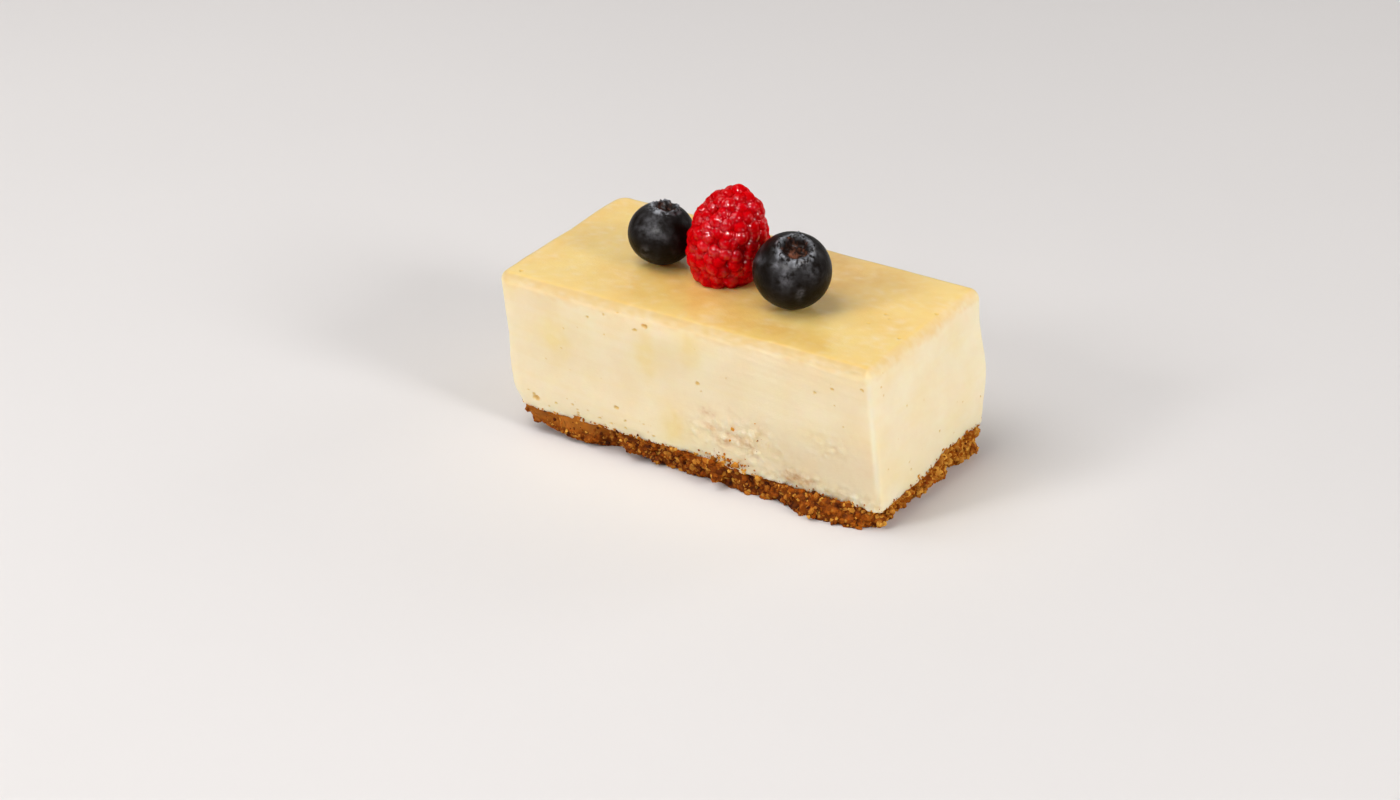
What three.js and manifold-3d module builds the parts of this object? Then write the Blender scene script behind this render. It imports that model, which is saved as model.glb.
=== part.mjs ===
// A cut bar of baked cheesecake on a biscuit crumb base, with a raspberry between two
// blueberries on its baked top. Millimetres, +Z up. The bar lies along X, its long front
// side faces -Y, and the origin is under the middle of its box, on the surface it rests on.

import * as THREE from 'three';
import { mergeVertices } from 'three/addons/utils/BufferGeometryUtils.js';
import { ImprovedNoise } from 'three/addons/math/ImprovedNoise.js';
import Module from 'manifold-3d';

// The bar: the plan of its four upright edges, at the baked top, at the seam and in the base
const TOP_PLAN = {
  frontLeft: [-50.2, -25.8],
  frontRight: [46.8, -24.0],
  backRight: [48.7, 26.1],
  backLeft: [-50.0, 27.2],
};
const SEAM_PLAN = {
  frontLeft: [-45.9, -24.2],
  frontRight: [50.0, -22.5],
  backRight: [51.7, 23.6],
  backLeft: [-46.2, 24.4],
};
const BASE_PLAN = {
  frontLeft: [-43.4, -23.2],
  frontRight: [49.5, -22.2],
  backRight: [51.1, 23.2],
  backLeft: [-43.8, 23.6],
};
const BASE_HEIGHT = 6;
const FILLING_HEIGHT = 34;
const GAP = 0.3; // clearance between pieces that touch

// Rounding of the filling
const SHOULDER = 2.4; // baked edge round the top
const FOOT_ROUND = 1;
const UPRIGHT_ROUND = { frontLeft: 3.6, frontRight: 1.6, backRight: 2.4, backLeft: 4 };

// Swells and hollows of the soft sides
const LEFT_LIP = 2.1; // the left end hangs over its foot
const LEFT_LIP_LEVEL = 0.2; // levels are shares of the filling's height
const LEFT_FOOT_LEVEL = 0.12;
const RIGHT_SWELL = 1.7;
const RIGHT_SWELL_LEVEL = 0.42;
const SWELL_SPREAD = 0.3;
const SWELL_FRONT_SHARE = 0.2; // at the front corner, of what the back corner has
const SOFT_RELIEF = 0.55;
const SOFT_RELIEF_SIZE = 13;
const TOP_DROP = 0.25; // the top sinks a little towards its edges
const SIDE_CLOSENESS = 8; // how closely a side's relief keeps to that side

// The seam between filling and base
const SEAM_WAVE = 0.45;
const SEAM_WAVE_SIZE = 9;
const SEAM_LEFT_RISE = 0.6; // in the front half, where crumbs stand higher to the left
const SEAM_RIGHT_RISE = -0.7;
const SEAM_SLOPE_ALONG = [-8, 24];
const SEAM_BACK_RISE = 1.6; // and higher again at the back of the right end
const SEAM_BACK_ALONG = [40, 50];
const SEAM_ACROSS = [-4, 8]; // where the front half ends and the back begins
const SEAM_FLAT = [0.8, 1]; // inwards of these shares of the outline the seam is flat

// The crumb base
const BASE_CORNER_ROUND = { frontLeft: 3, frontRight: 6, backRight: 3, backLeft: 4 };
const BASE_LEDGE = 0.4; // how far it stands out under the filling
const BASE_TUCK = 0.7; // how far its foot draws in
const BASE_CLOSENESS = 10;
const BASE_RAGGED = 1.6; // broad unevenness of its sides
const BASE_RAGGED_SIZE = 7;
const BASE_CRAGS = 1.5; // crumbly unevenness
const BASE_CRAG_SIZE = 2.7;
const FRONT_SPREAD = 2.8; // pressed out in front, towards the right
const FRONT_SPREAD_AT = 35;
const FRONT_SPREAD_REACH = 9;
const FRONT_SPREAD_TOP = 0.4; // what is left of the spread at the seam
const LEFT_TAPER = 3; // the underside climbs towards the left end
const LEFT_TAPER_FROM = -20;
const LEFT_TAPER_TO = -48;
const NOTCH_AT = -20.4; // a piece has broken out of the front
const NOTCH_REACH = 2;
const NOTCH_RISE = 3.2;
const NOTCH_DEPTH = 2.4;
const LIFT = 1.5; // the front is lifted a little to the right of the notch
const LIFT_AT = -13;
const LIFT_REACH = 6;
const END_TUCK = 0.9; // the foot of the right end draws in, towards its front
const END_TUCK_ACROSS = [4, 13];
const END_LUMP = 1.8; // a lump stands out of it, with a dent behind
const END_LUMP_AT = 6.6;
const END_LUMP_REACH = 1.7;
const END_DENT = 1.3;
const END_DENT_AT = 11;
const END_DENT_REACH = 2.2;
const CRUMBS = 60; // larger ones, fused to the sides
const CRUMB_RADIUS = [1.1, 2.1];
const CRUMB_LEVELS = [0.15, 0.75];
const CRUMB_LONGEST = 1.3; // a crumb's longest reach, in radii
const CRUMB_SEED = 11;

// The raspberry, measured on its own axis from its open end upwards
const RASPBERRY = {
  foot: [-4.5, -0.6], // where the axis meets the top of the bar
  height: 22.7,
  radius: 9.4,
  widestAt: 7.8,
  pointedness: 0.58, // 0.5 is an ellipse, more is more pointed
  footRadius: 7.3,
  flatness: 0.94, // depth over width
  lean: 10.5, // degrees, towards leanTowards
  leanTowards: 32, // degrees from +X
  ringsStart: -60, // degrees from +X: the rings are staggered best there
};
const DRUPELET_RADIUS = 1.65;
const DRUPELET_PITCH = 2.7; // along a ring of their middles
const DRUPELET_ROW = 2.4; // from ring to ring
const DRUPELET_JITTER = 0.22;
const DRUPELET_TURN_JITTER = 0.06; // radians
const DRUPELET_SIZES = [0.94, 1.08]; // times the radius
const RASPBERRY_SEED = 5;
const HEART_LEVEL = 0.45; // where the rays to the surface start, as a share of the height

// The blueberries: width over height is a little more than one
const BLUEBERRIES = {
  blueberry_left: {
    at: [-20.3, -0.9],
    radius: 7.8,
    squash: 0.92,
    crown: 3.3,
    tilt: 8, // degrees of the crown's axis from upright
    tiltTowards: 20, // degrees from +X
    turn: 15,
  },
  blueberry_right: {
    at: [16.6, -4.8],
    radius: 8.9,
    squash: 0.95,
    crown: 4.2,
    tilt: 26,
    tiltTowards: -50,
    turn: 40,
  },
};
const CROWN_LOBES = 5;
const CROWN_RISE = 0.75;
const CROWN_DEPTH = 1.7;
const LOBE_RISE = 0.34; // how far the lobes stand above and below the rim
const LOBE_SPREAD = 0.09; // how far they bend out, as a share of the crown
const FLAT_SPOT = 0.25; // how far a berry is flattened where it rests

// Fineness
const CROWDING = 1.41; // how closely grid lines crowd at the edges, in radians of a sine
const FILLING_GRID = [24, 13, 9];
const BASE_STEPS_AROUND = 150;
const BASE_STEPS_UP = 4;
const RASPBERRY_DETAIL = 14;
const BLUEBERRY_STEPS_UP = 8;
const STEPS_A_LOBE = 5;
const OUTLINE_STEP = 0.02;
const BASE_INNER = 0.8; // where the flat middle of the slab begins, as a share of its outline
const GOLDEN_SHARE = 0.618; // spreads the crumbs' heights
const CLEAN_EDGE = 0.03; // shorter edges than this are closed up after joining
const WELD = 1e-4;

const TOP = BASE_HEIGHT + FILLING_HEIGHT;
const REST = TOP + GAP; // where the berries stand
const wasm = await Module();
wasm.setup();
const noise = new ImprovedNoise();
const clamp = THREE.MathUtils.clamp;
const lerp = THREE.MathUtils.lerp;
const smoothstep = THREE.MathUtils.smoothstep;
const radians = THREE.MathUtils.degToRad;
const UP = new THREE.Vector3(0, 0, 1);

// Random numbers from a seed, so that the part is the same each time it is made
function seeded(seed) {
  let state = seed;
  return () => {
    state = (state * 16807) % 2147483647;
    return state / 2147483647;
  };
}

function bell(distance, reach) {
  return Math.exp(-((distance / reach) ** 2));
}

function relief(x, y, z, size) {
  return noise.noise(x / size, y / size, z / size);
}

// A value that goes evenly from corner to corner; u and v run from -1 to 1
function betweenCorners(corners, u, v, pick) {
  const front = lerp(pick(corners.frontLeft), pick(corners.frontRight), (u + 1) / 2);
  const back = lerp(pick(corners.backLeft), pick(corners.backRight), (u + 1) / 2);
  return lerp(front, back, (v + 1) / 2);
}

function planPoint(corners, u, v) {
  return [
    betweenCorners(corners, u, v, (corner) => corner[0]),
    betweenCorners(corners, u, v, (corner) => corner[1]),
  ];
}

function halfSizes(corners) {
  return [
    (corners.frontRight[0] - corners.frontLeft[0]) / 2,
    (corners.backLeft[1] - corners.frontLeft[1]) / 2,
  ];
}

// Shared vertices only, as a solid for joining and cutting
function solidOf(geometry) {
  const bare = geometry.index ? geometry.clone() : geometry;
  bare.deleteAttribute('normal');
  bare.deleteAttribute('uv');
  const merged = mergeVertices(bare, WELD);
  return new wasm.Manifold(new wasm.Mesh({
    numProp: 3,
    vertProperties: new Float32Array(merged.attributes.position.array),
    triVerts: new Uint32Array(merged.index.array),
  }));
}

function geometryOf(solid) {
  const mesh = solid.getMesh();
  const geometry = new THREE.BufferGeometry();
  geometry.setAttribute('position', new THREE.BufferAttribute(mesh.vertProperties, 3));
  geometry.setIndex(new THREE.BufferAttribute(mesh.triVerts, 1));
  geometry.computeVertexNormals();
  return geometry;
}

// A lean by so many degrees from upright, towards a direction counted from +X
function tiltOf(degrees, towards) {
  const heading = new THREE.Vector3(1, 0, 0).applyAxisAngle(UP, radians(towards));
  return new THREE.Quaternion().setFromAxisAngle(UP.clone().cross(heading), radians(degrees));
}

function moveVertices(geometry, move) {
  const position = geometry.attributes.position;
  const point = new THREE.Vector3();
  for (let i = 0; i < position.count; i += 1) {
    point.fromBufferAttribute(position, i);
    move(point);
    position.setXYZ(i, point.x, point.y, point.z);
  }
  geometry.computeBoundingBox();
  return geometry;
}

// A block of unit half sizes whose grid lines crowd towards its edges
function griddedBlock([along, across, up]) {
  const crowd = (t) => Math.sin(t * CROWDING) / Math.sin(CROWDING);
  const block = new THREE.BoxGeometry(2, 2, 2, along, across, up);
  return moveVertices(block, (p) => p.set(crowd(p.x), crowd(p.y), crowd(p.z)));
}

// Brings the square corner of the offset (a, b) onto an arc of the same reach
function squareToArc(a, b) {
  const reach = Math.max(Math.abs(a), Math.abs(b));
  return reach > 0 ? reach / Math.hypot(a, b) : 1;
}

function beyond(value, limit) {
  return value - clamp(value, -limit, limit);
}

// Rounds the edges of a block of half sizes hx, hy, hz: the rim above, the foot, the uprights
function roundBlock(p, [hx, hy, hz], rim, foot, upright) {
  const edge = p.z > 0 ? rim : foot;
  const dx = beyond(p.x, hx - edge);
  const dy = beyond(p.y, hy - edge);
  const dz = beyond(p.z, hz - edge);
  if (dz !== 0 && (dx !== 0 || dy !== 0)) {
    const pull = squareToArc(Math.max(Math.abs(dx), Math.abs(dy)), dz) - 1;
    p.x += dx * pull;
    p.y += dy * pull;
    p.z += dz * pull;
  }
  const round = betweenCorners(upright, Math.sign(p.x), Math.sign(p.y), (corner) => corner);
  const cx = beyond(p.x, hx - round);
  const cy = beyond(p.y, hy - round);
  if (cx !== 0 && cy !== 0) {
    const pull = squareToArc(cx, cy) - 1;
    p.x += cx * pull;
    p.y += cy * pull;
  }
}

// The seam waves and slopes near the sides and is flat in the middle
function seamHeight(x, y) {
  const [halfLength, halfWidth] = halfSizes(BASE_PLAN);
  const out = Math.max(Math.abs(x) / halfLength, Math.abs(y) / halfWidth);
  const back = smoothstep(y, ...SEAM_ACROSS);
  const slope = lerp(SEAM_LEFT_RISE, SEAM_RIGHT_RISE, smoothstep(x, ...SEAM_SLOPE_ALONG));
  const wave = SEAM_WAVE * relief(x, y, BASE_HEIGHT, SEAM_WAVE_SIZE);
  const rise = SEAM_BACK_RISE * back * smoothstep(x, ...SEAM_BACK_ALONG);
  return BASE_HEIGHT + (wave + slope * (1 - back)) * smoothstep(out, ...SEAM_FLAT) + rise;
}

// The creamy filling, up to the baked top
function makeFilling() {
  const half = [...halfSizes(TOP_PLAN), FILLING_HEIGHT / 2];
  const block = griddedBlock(FILLING_GRID);
  moveVertices(block, (p) => {
    p.set(p.x * half[0], p.y * half[1], p.z * half[2]);
    roundBlock(p, half, SHOULDER, FOOT_ROUND, UPRIGHT_ROUND);
    const u = p.x / half[0];
    const v = p.y / half[1];
    const level = (p.z / half[2] + 1) / 2;
    const above = planPoint(TOP_PLAN, u, v);
    const below = planPoint(SEAM_PLAN, u, v);
    const x = lerp(below[0], above[0], level);
    const y = lerp(below[1], above[1], level);
    const z = BASE_HEIGHT + level * FILLING_HEIGHT;
    const lip = LEFT_LIP * bell(level - LEFT_LIP_LEVEL, SWELL_SPREAD)
      * smoothstep(level, 0, LEFT_FOOT_LEVEL);
    const swell = RIGHT_SWELL * bell(level - RIGHT_SWELL_LEVEL, SWELL_SPREAD)
      * lerp(SWELL_FRONT_SHARE, 1, (v + 1) / 2);
    const soft = SOFT_RELIEF * relief(x, y, z, SOFT_RELIEF_SIZE);
    const endReach = Math.abs(u) ** SIDE_CLOSENESS;
    const sideReach = Math.abs(v) ** SIDE_CLOSENESS;
    const drop = TOP_DROP * Math.max(endReach, sideReach) * smoothstep(level, 0.5, 1);
    p.x = x + Math.sign(u) * endReach * ((u < 0 ? lip : swell) + soft);
    p.y = y + Math.sign(v) * sideReach * soft;
    const seam = seamHeight(p.x, p.y) + GAP;
    p.z = lerp(seam, TOP, level) - drop;
  });
  return block;
}

// A place in the crumb base: u and v run from -1 to 1 in plan, level from 0 to 1 upwards
function basePoint(u, v, level) {
  const [x, y] = planPoint(BASE_PLAN, u, v);
  const endReach = Math.abs(u) ** BASE_CLOSENESS;
  const sideReach = Math.abs(v) ** BASE_CLOSENESS;
  const front = v < 0 ? 1 : 0;
  const z = level * BASE_HEIGHT;
  const ragged = BASE_RAGGED * relief(x, y, z, BASE_RAGGED_SIZE);
  const crags = BASE_CRAGS * relief(x, y, z, BASE_CRAG_SIZE);
  const spread = front * FRONT_SPREAD * bell(x - FRONT_SPREAD_AT, FRONT_SPREAD_REACH)
    * lerp(1, FRONT_SPREAD_TOP, level);
  const notch = front * sideReach * bell(x - NOTCH_AT, NOTCH_REACH);
  const lift = front * sideReach * bell(x - LIFT_AT, LIFT_REACH);
  const end = x > 0 ? END_TUCK * (smoothstep(y, ...END_TUCK_ACROSS) - 1)
    + END_LUMP * bell(y - END_LUMP_AT, END_LUMP_REACH)
    - END_DENT * bell(y - END_DENT_AT, END_DENT_REACH) : 0;
  const taper = smoothstep(-x, -LEFT_TAPER_FROM, -LEFT_TAPER_TO);
  const rim = smoothstep(Math.max(Math.abs(u), Math.abs(v)), BASE_INNER, 1);
  const underside = rim * (LEFT_TAPER * taper + NOTCH_RISE * notch + LIFT * lift);
  const tucked = (1 - level) * (BASE_TUCK + NOTCH_DEPTH * notch);
  const out = BASE_LEDGE + ragged + crags - tucked;
  const place = new THREE.Vector3(
    x + Math.sign(u) * endReach * (out + (1 - level) * end),
    y + Math.sign(v) * sideReach * (out + spread),
    0,
  );
  place.z = lerp(underside, seamHeight(place.x, place.y), level);
  return place;
}

// The base's outline in plan, a rectangle of unit half sizes with its corners rounded
function baseOutline([halfLength, halfWidth]) {
  const round = (corner) => [
    BASE_CORNER_ROUND[corner] / halfLength,
    BASE_CORNER_ROUND[corner] / halfWidth,
  ];
  const [flx, fly] = round('frontLeft');
  const [frx, fry] = round('frontRight');
  const [brx, bry] = round('backRight');
  const [blx, bly] = round('backLeft');
  return new THREE.Path()
    .moveTo(-1 + flx, -1)
    .lineTo(1 - frx, -1)
    .quadraticCurveTo(1, -1, 1, -1 + fry)
    .lineTo(1, 1 - bry)
    .quadraticCurveTo(1, 1, 1 - brx, 1)
    .lineTo(-1 + blx, 1)
    .quadraticCurveTo(-1, 1, -1, 1 - bly)
    .lineTo(-1, -1 + fly)
    .quadraticCurveTo(-1, -1, -1 + flx, -1);
}

// One crumb: a small uneven lump, turned any way
function makeCrumb(radius, random) {
  const crumb = new THREE.IcosahedronGeometry(radius, 0);
  crumb.scale(0.8 + 0.5 * random(), 0.7 + 0.4 * random(), 0.6 + 0.3 * random());
  crumb.rotateX(Math.PI * random());
  crumb.rotateZ(2 * Math.PI * random());
  return crumb;
}

// A round slab drawn out to the bar's outline, with crumbs set evenly round its sides
function makeBase() {
  const random = seeded(CRUMB_SEED);
  const outline = baseOutline(halfSizes(BASE_PLAN));
  const profile = [new THREE.Vector2(0, 0), new THREE.Vector2(BASE_INNER, 0)];
  for (let i = 0; i <= BASE_STEPS_UP; i += 1) {
    profile.push(new THREE.Vector2(1, i / BASE_STEPS_UP));
  }
  profile.push(new THREE.Vector2(BASE_INNER, 1), new THREE.Vector2(0, 1));
  const slab = new THREE.LatheGeometry(profile, BASE_STEPS_AROUND).rotateX(Math.PI / 2);
  moveVertices(slab, (p) => {
    const share = (Math.atan2(p.y, p.x) / (2 * Math.PI) + 1) % 1;
    const rim = outline.getPointAt(share).multiplyScalar(Math.hypot(p.x, p.y));
    p.copy(basePoint(rim.x, rim.y, p.z));
  });
  const pieces = [solidOf(slab)];
  for (let i = 0; i < CRUMBS; i += 1) {
    const rim = outline.getPointAt((i + random() / 2) / CRUMBS);
    const radius = lerp(...CRUMB_RADIUS, random() ** 2);
    const place = basePoint(rim.x, rim.y, lerp(...CRUMB_LEVELS, (i * GOLDEN_SHARE) % 1));
    const highest = seamHeight(place.x, place.y) - CRUMB_LONGEST * radius;
    const crumb = makeCrumb(radius, random);
    crumb.translate(place.x, place.y, Math.min(place.z, highest));
    pieces.push(solidOf(crumb));
  }
  const below = new THREE.BoxGeometry(4 * TOP, 4 * TOP, TOP).translate(0, 0, -TOP / 2);
  return geometryOf(wasm.Manifold.union(pieces).subtract(solidOf(below)).simplify(CLEAN_EDGE));
}

// The raspberry's outer radius at a height on its axis
function raspberryRadius(height) {
  const { radius, widestAt, footRadius } = RASPBERRY;
  if (height < widestAt) {
    return lerp(radius, footRadius, ((widestAt - height) / widestAt) ** 2);
  }
  const rise = (height - widestAt) / (RASPBERRY.height - widestAt);
  return radius * Math.max(0, 1 - rise ** 2) ** RASPBERRY.pointedness;
}

// Heights and radii along the raspberry's outline, one row of drupelets apart
function raspberryRows() {
  const rows = [];
  let walked = 0;
  let previous = [raspberryRadius(0), 0];
  rows.push(previous);
  for (let height = OUTLINE_STEP; height <= RASPBERRY.height; height += OUTLINE_STEP) {
    const here = [raspberryRadius(height), height];
    walked += Math.hypot(here[0] - previous[0], here[1] - previous[1]);
    previous = here;
    if (walked >= DRUPELET_ROW) {
      rows.push(here);
      walked -= DRUPELET_ROW;
    }
  }
  return rows;
}

// The middles and radii of the drupelets, ring above ring, each ring turned by half a pitch
function raspberryDrupelets(random) {
  const drupelets = [];
  raspberryRows().forEach(([radius, height], row) => {
    const slope = (height - RASPBERRY.widestAt) / (RASPBERRY.height - RASPBERRY.widestAt);
    const inward = Math.sqrt(1 - clamp(slope, 0, 1) ** 2);
    const ring = Math.max(0, radius - DRUPELET_RADIUS * inward);
    const level = Math.max(height - DRUPELET_RADIUS * clamp(slope, -0.3, 1), DRUPELET_JITTER);
    const count = Math.max(1, Math.round((2 * Math.PI * ring) / DRUPELET_PITCH));
    for (let i = 0; i < count; i += 1) {
      const turn = radians(RASPBERRY.ringsStart) + ((i + (row % 2) / 2) / count) * 2 * Math.PI
        + DRUPELET_TURN_JITTER * (2 * random() - 1);
      const shift = DRUPELET_JITTER * (2 * random() - 1);
      drupelets.push({
        middle: new THREE.Vector3(ring * Math.cos(turn), ring * Math.sin(turn), level + shift),
        radius: DRUPELET_RADIUS * lerp(...DRUPELET_SIZES, random()),
      });
    }
  });
  return drupelets;
}

// How far a ray from start can go and still be inside a ball; zero if it misses
function reachInBall(start, direction, { middle, radius }) {
  const toMiddle = middle.clone().sub(start);
  const along = toMiddle.dot(direction);
  const clear = radius ** 2 - toMiddle.lengthSq() + along ** 2;
  return clear > 0 ? along + Math.sqrt(clear) : 0;
}

// A ball pushed out to the drupelets all round, and flat where the open end stands
function makeRaspberry() {
  const lean = tiltOf(RASPBERRY.lean, RASPBERRY.leanTowards);
  const sideways = radians(RASPBERRY.leanTowards);
  const drupelets = raspberryDrupelets(seeded(RASPBERRY_SEED));
  for (const { middle } of drupelets) {
    middle.applyAxisAngle(UP, -sideways);
    middle.y *= RASPBERRY.flatness;
    middle.applyAxisAngle(UP, sideways).applyQuaternion(lean);
  }
  const heart = new THREE.Vector3(0, 0, RASPBERRY.height * HEART_LEVEL).applyQuaternion(lean);
  const berry = new THREE.IcosahedronGeometry(1, RASPBERRY_DETAIL);
  moveVertices(berry, (p) => {
    const direction = p.clone().normalize();
    let reach = RASPBERRY.footRadius;
    for (const drupelet of drupelets) {
      reach = Math.max(reach, reachInBall(heart, direction, drupelet));
    }
    if (direction.z < 0) reach = Math.min(reach, -heart.z / direction.z);
    p.copy(heart).addScaledVector(direction, reach);
  });
  return berry.translate(...RASPBERRY.foot, REST);
}

// A blueberry: a round body whose crown is a lobed rim round a hollow
function makeBlueberry({ at, radius, squash, crown, tilt, tiltTowards, turn }) {
  const crownAngle = Math.asin(crown / radius);
  const collar = radius * Math.cos(crownAngle) * squash;
  const profile = [new THREE.Vector2(0, -radius * squash)];
  for (let i = 1; i <= BLUEBERRY_STEPS_UP; i += 1) {
    const angle = lerp(Math.PI, crownAngle, i / BLUEBERRY_STEPS_UP);
    profile.push(new THREE.Vector2(radius * Math.sin(angle), radius * Math.cos(angle) * squash));
  }
  profile.push(new THREE.Vector2(crown * 0.93, collar + CROWN_RISE));
  profile.push(new THREE.Vector2(crown * 0.8, collar + CROWN_RISE * 0.8));
  profile.push(new THREE.Vector2(crown * 0.6, collar - CROWN_DEPTH * 0.55));
  profile.push(new THREE.Vector2(crown * 0.3, collar - CROWN_DEPTH * 0.8));
  profile.push(new THREE.Vector2(0, collar - CROWN_DEPTH * 0.6));
  const berry = new THREE.LatheGeometry(profile, CROWN_LOBES * STEPS_A_LOBE).rotateX(Math.PI / 2);
  moveVertices(berry, (p) => {
    if (p.z < collar) return;
    const onRim = bell(Math.hypot(p.x, p.y) - crown * 0.87, crown * 0.14);
    const lobe = onRim * Math.cos(CROWN_LOBES * Math.atan2(p.y, p.x));
    const spread = 1 + LOBE_SPREAD * lobe;
    p.set(p.x * spread, p.y * spread, p.z + LOBE_RISE * lobe);
  });
  berry.rotateZ(radians(turn));
  berry.applyQuaternion(tiltOf(tilt, tiltTowards));
  berry.computeBoundingBox();
  berry.translate(at[0], at[1], REST - FLAT_SPOT - berry.boundingBox.min.z);
  return moveVertices(berry, (p) => {
    p.z = Math.max(p.z, REST);
  });
}

const FINISHES = {
  biscuit: new THREE.MeshStandardMaterial({ color: 0xa66a26, roughness: 0.85, metalness: 0 }),
  cheesecake: new THREE.MeshStandardMaterial({ color: 0xf1dfb4, roughness: 0.45, metalness: 0 }),
  raspberry: new THREE.MeshStandardMaterial({ color: 0xc0101c, roughness: 0.35, metalness: 0 }),
  blueberry: new THREE.MeshStandardMaterial({ color: 0x1b2030, roughness: 0.5, metalness: 0 }),
};

const cheesecakeBar = new THREE.Group();

function addPiece(name, geometry, finish) {
  const piece = new THREE.Mesh(geometry, finish.clone());
  piece.name = name;
  cheesecakeBar.add(piece);
}

addPiece('biscuit_base', makeBase(), FINISHES.biscuit);
addPiece('cheesecake', makeFilling(), FINISHES.cheesecake);
addPiece('raspberry', makeRaspberry(), FINISHES.raspberry);
for (const [name, berry] of Object.entries(BLUEBERRIES)) {
  addPiece(name, makeBlueberry(berry), FINISHES.blueberry);
}

// The origin goes under the middle of the whole
const middle = new THREE.Box3().setFromObject(cheesecakeBar).getCenter(new THREE.Vector3());
cheesecakeBar.position.set(-middle.x, -middle.y, 0);
cheesecakeBar.updateMatrixWorld(true);

export default cheesecakeBar;
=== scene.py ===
# A cut bar of baked cheesecake on a biscuit crumb base, with a raspberry between two
# blueberries on its glossy baked top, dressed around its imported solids.
# Shapes are worked out in millimetres in the part's own drawing, then placed in metres.

import math

import bmesh
import bpy
import numpy as np
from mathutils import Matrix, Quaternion, Vector, noise
from mathutils.bvhtree import BVHTree


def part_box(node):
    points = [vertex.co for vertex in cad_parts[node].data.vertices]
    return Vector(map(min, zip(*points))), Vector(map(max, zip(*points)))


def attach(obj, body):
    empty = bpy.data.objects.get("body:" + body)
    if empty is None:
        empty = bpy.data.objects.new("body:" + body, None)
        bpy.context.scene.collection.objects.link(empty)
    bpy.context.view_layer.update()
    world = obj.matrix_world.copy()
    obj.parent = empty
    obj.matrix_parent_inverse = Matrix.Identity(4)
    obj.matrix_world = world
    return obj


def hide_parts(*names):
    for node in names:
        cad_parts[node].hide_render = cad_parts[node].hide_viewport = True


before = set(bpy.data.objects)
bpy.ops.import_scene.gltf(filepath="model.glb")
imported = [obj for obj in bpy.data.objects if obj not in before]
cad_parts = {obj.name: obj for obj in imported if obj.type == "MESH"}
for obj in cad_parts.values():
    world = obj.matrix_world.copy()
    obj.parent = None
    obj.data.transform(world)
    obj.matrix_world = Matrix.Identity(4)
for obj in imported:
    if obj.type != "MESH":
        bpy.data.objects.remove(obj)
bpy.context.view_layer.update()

MM = 0.001
DRAWN_ZERO = np.array([-1.687, -0.403, 0.0])  # where the drawing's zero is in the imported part
FRONT_LEFT, FRONT_RIGHT, BACK_RIGHT, BACK_LEFT = range(4)

# The bar, with the plans of its four upright edges in the order named above
TOP_PLAN = np.array([(-50.2, -25.8), (46.8, -24.0), (48.7, 26.1), (-50.0, 27.2)])
SEAM_PLAN = np.array([(-45.9, -24.2), (50.0, -22.5), (51.7, 23.6), (-46.2, 24.4)])
UPRIGHT_ROUND = np.array([3.6, 1.6, 2.4, 4.0])
SEAM = 6.0
TOP = 40.0
SHOULDER = 2.4
FOOT_ROUND = 0.6
SUNK_FOOT = 0.5  # the filling's foot goes into the crumbs
LEFT_LIP = 2.1
LEFT_LIP_LEVEL = 0.2
LEFT_FOOT_LEVEL = 0.12  # below it the left end is undercut
RIGHT_SWELL = 1.7
RIGHT_SWELL_LEVEL = 0.42
SWELL_SPREAD = 0.3
SWELL_FRONT_SHARE = 0.2
SOFT_RELIEF = 0.55
SOFT_RELIEF_SIZE = 13
TOP_DROP = 0.25
SIDE_CLOSENESS = 8  # the power by which lip, swell and relief keep to the sides
SEAM_LEFT_RISE = 0.6
SEAM_RIGHT_RISE = -0.7
SEAM_SLOPE_ALONG = (-8, 24)
SEAM_BACK_RISE = 1.6
SEAM_BACK_ALONG = (40, 50)
SEAM_ACROSS = (-4, 8)
END_PAINTED_LIGHT = 0.22  # painted light: the crumbs are made paler at the right end
FRONT_LIFT = 0.8  # crumbs stand up against the filling's foot on the left of the front
FILLING_GRID = (212, 90, 72)
CROWDING = 0.9  # radians: the grid is closer towards its edges

# Pinholes that show: two places on their side, and a radius
FRONT_PINHOLES = (
    (-24.7, 35.0, 0.4), (-20.4, 36.7, 0.35), (-12.2, 34.9, 0.5), (-9.6, 36.4, 0.7),
    (-40.2, 9.4, 0.95), (-28.9, 9.4, 0.3), (-18.1, 13.0, 0.6), (-32.4, 24.7, 0.3),
    (3.9, 25.4, 0.5), (38.0, 33.4, 0.5), (45.2, 35.0, 0.4), (-42.5, 11.0, 0.3),
)
TOP_PINHOLES = (
    (-45.2, -21.8, 0.5), (44.6, -6.3, 0.4), (46.0, 8.7, 0.45), (36.7, 2.3, 0.4), (35.6, -3.6, 0.35),
)
END_PINHOLES = ((3.0, 14.2, 0.35), (12.6, 17.4, 0.3), (20.8, 15.1, 0.4), (-9.9, 26.0, 0.3))
SCATTERED_PINHOLES = 70
SCATTERED_BETWEEN = ((-40, -20, 9), (44, 20, 38))
SCATTERED_RADII = (0.16, 0.36)
SIDE_CHANCES = (0.3, 0.1, 0.15, 0.3, 0.15)  # front, top, right end, back and left end
FOOT_PINHOLES = 26  # low on the left of the front
FOOT_BETWEEN = ((-44, 7.3), (-8, 12))
FOOT_RADII = (0.15, 0.42)
PINHOLE_DEPTH = 0.65  # times the radius
PINHOLE_SEED = 21
FAR = 90  # beyond the bar on every side

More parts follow.
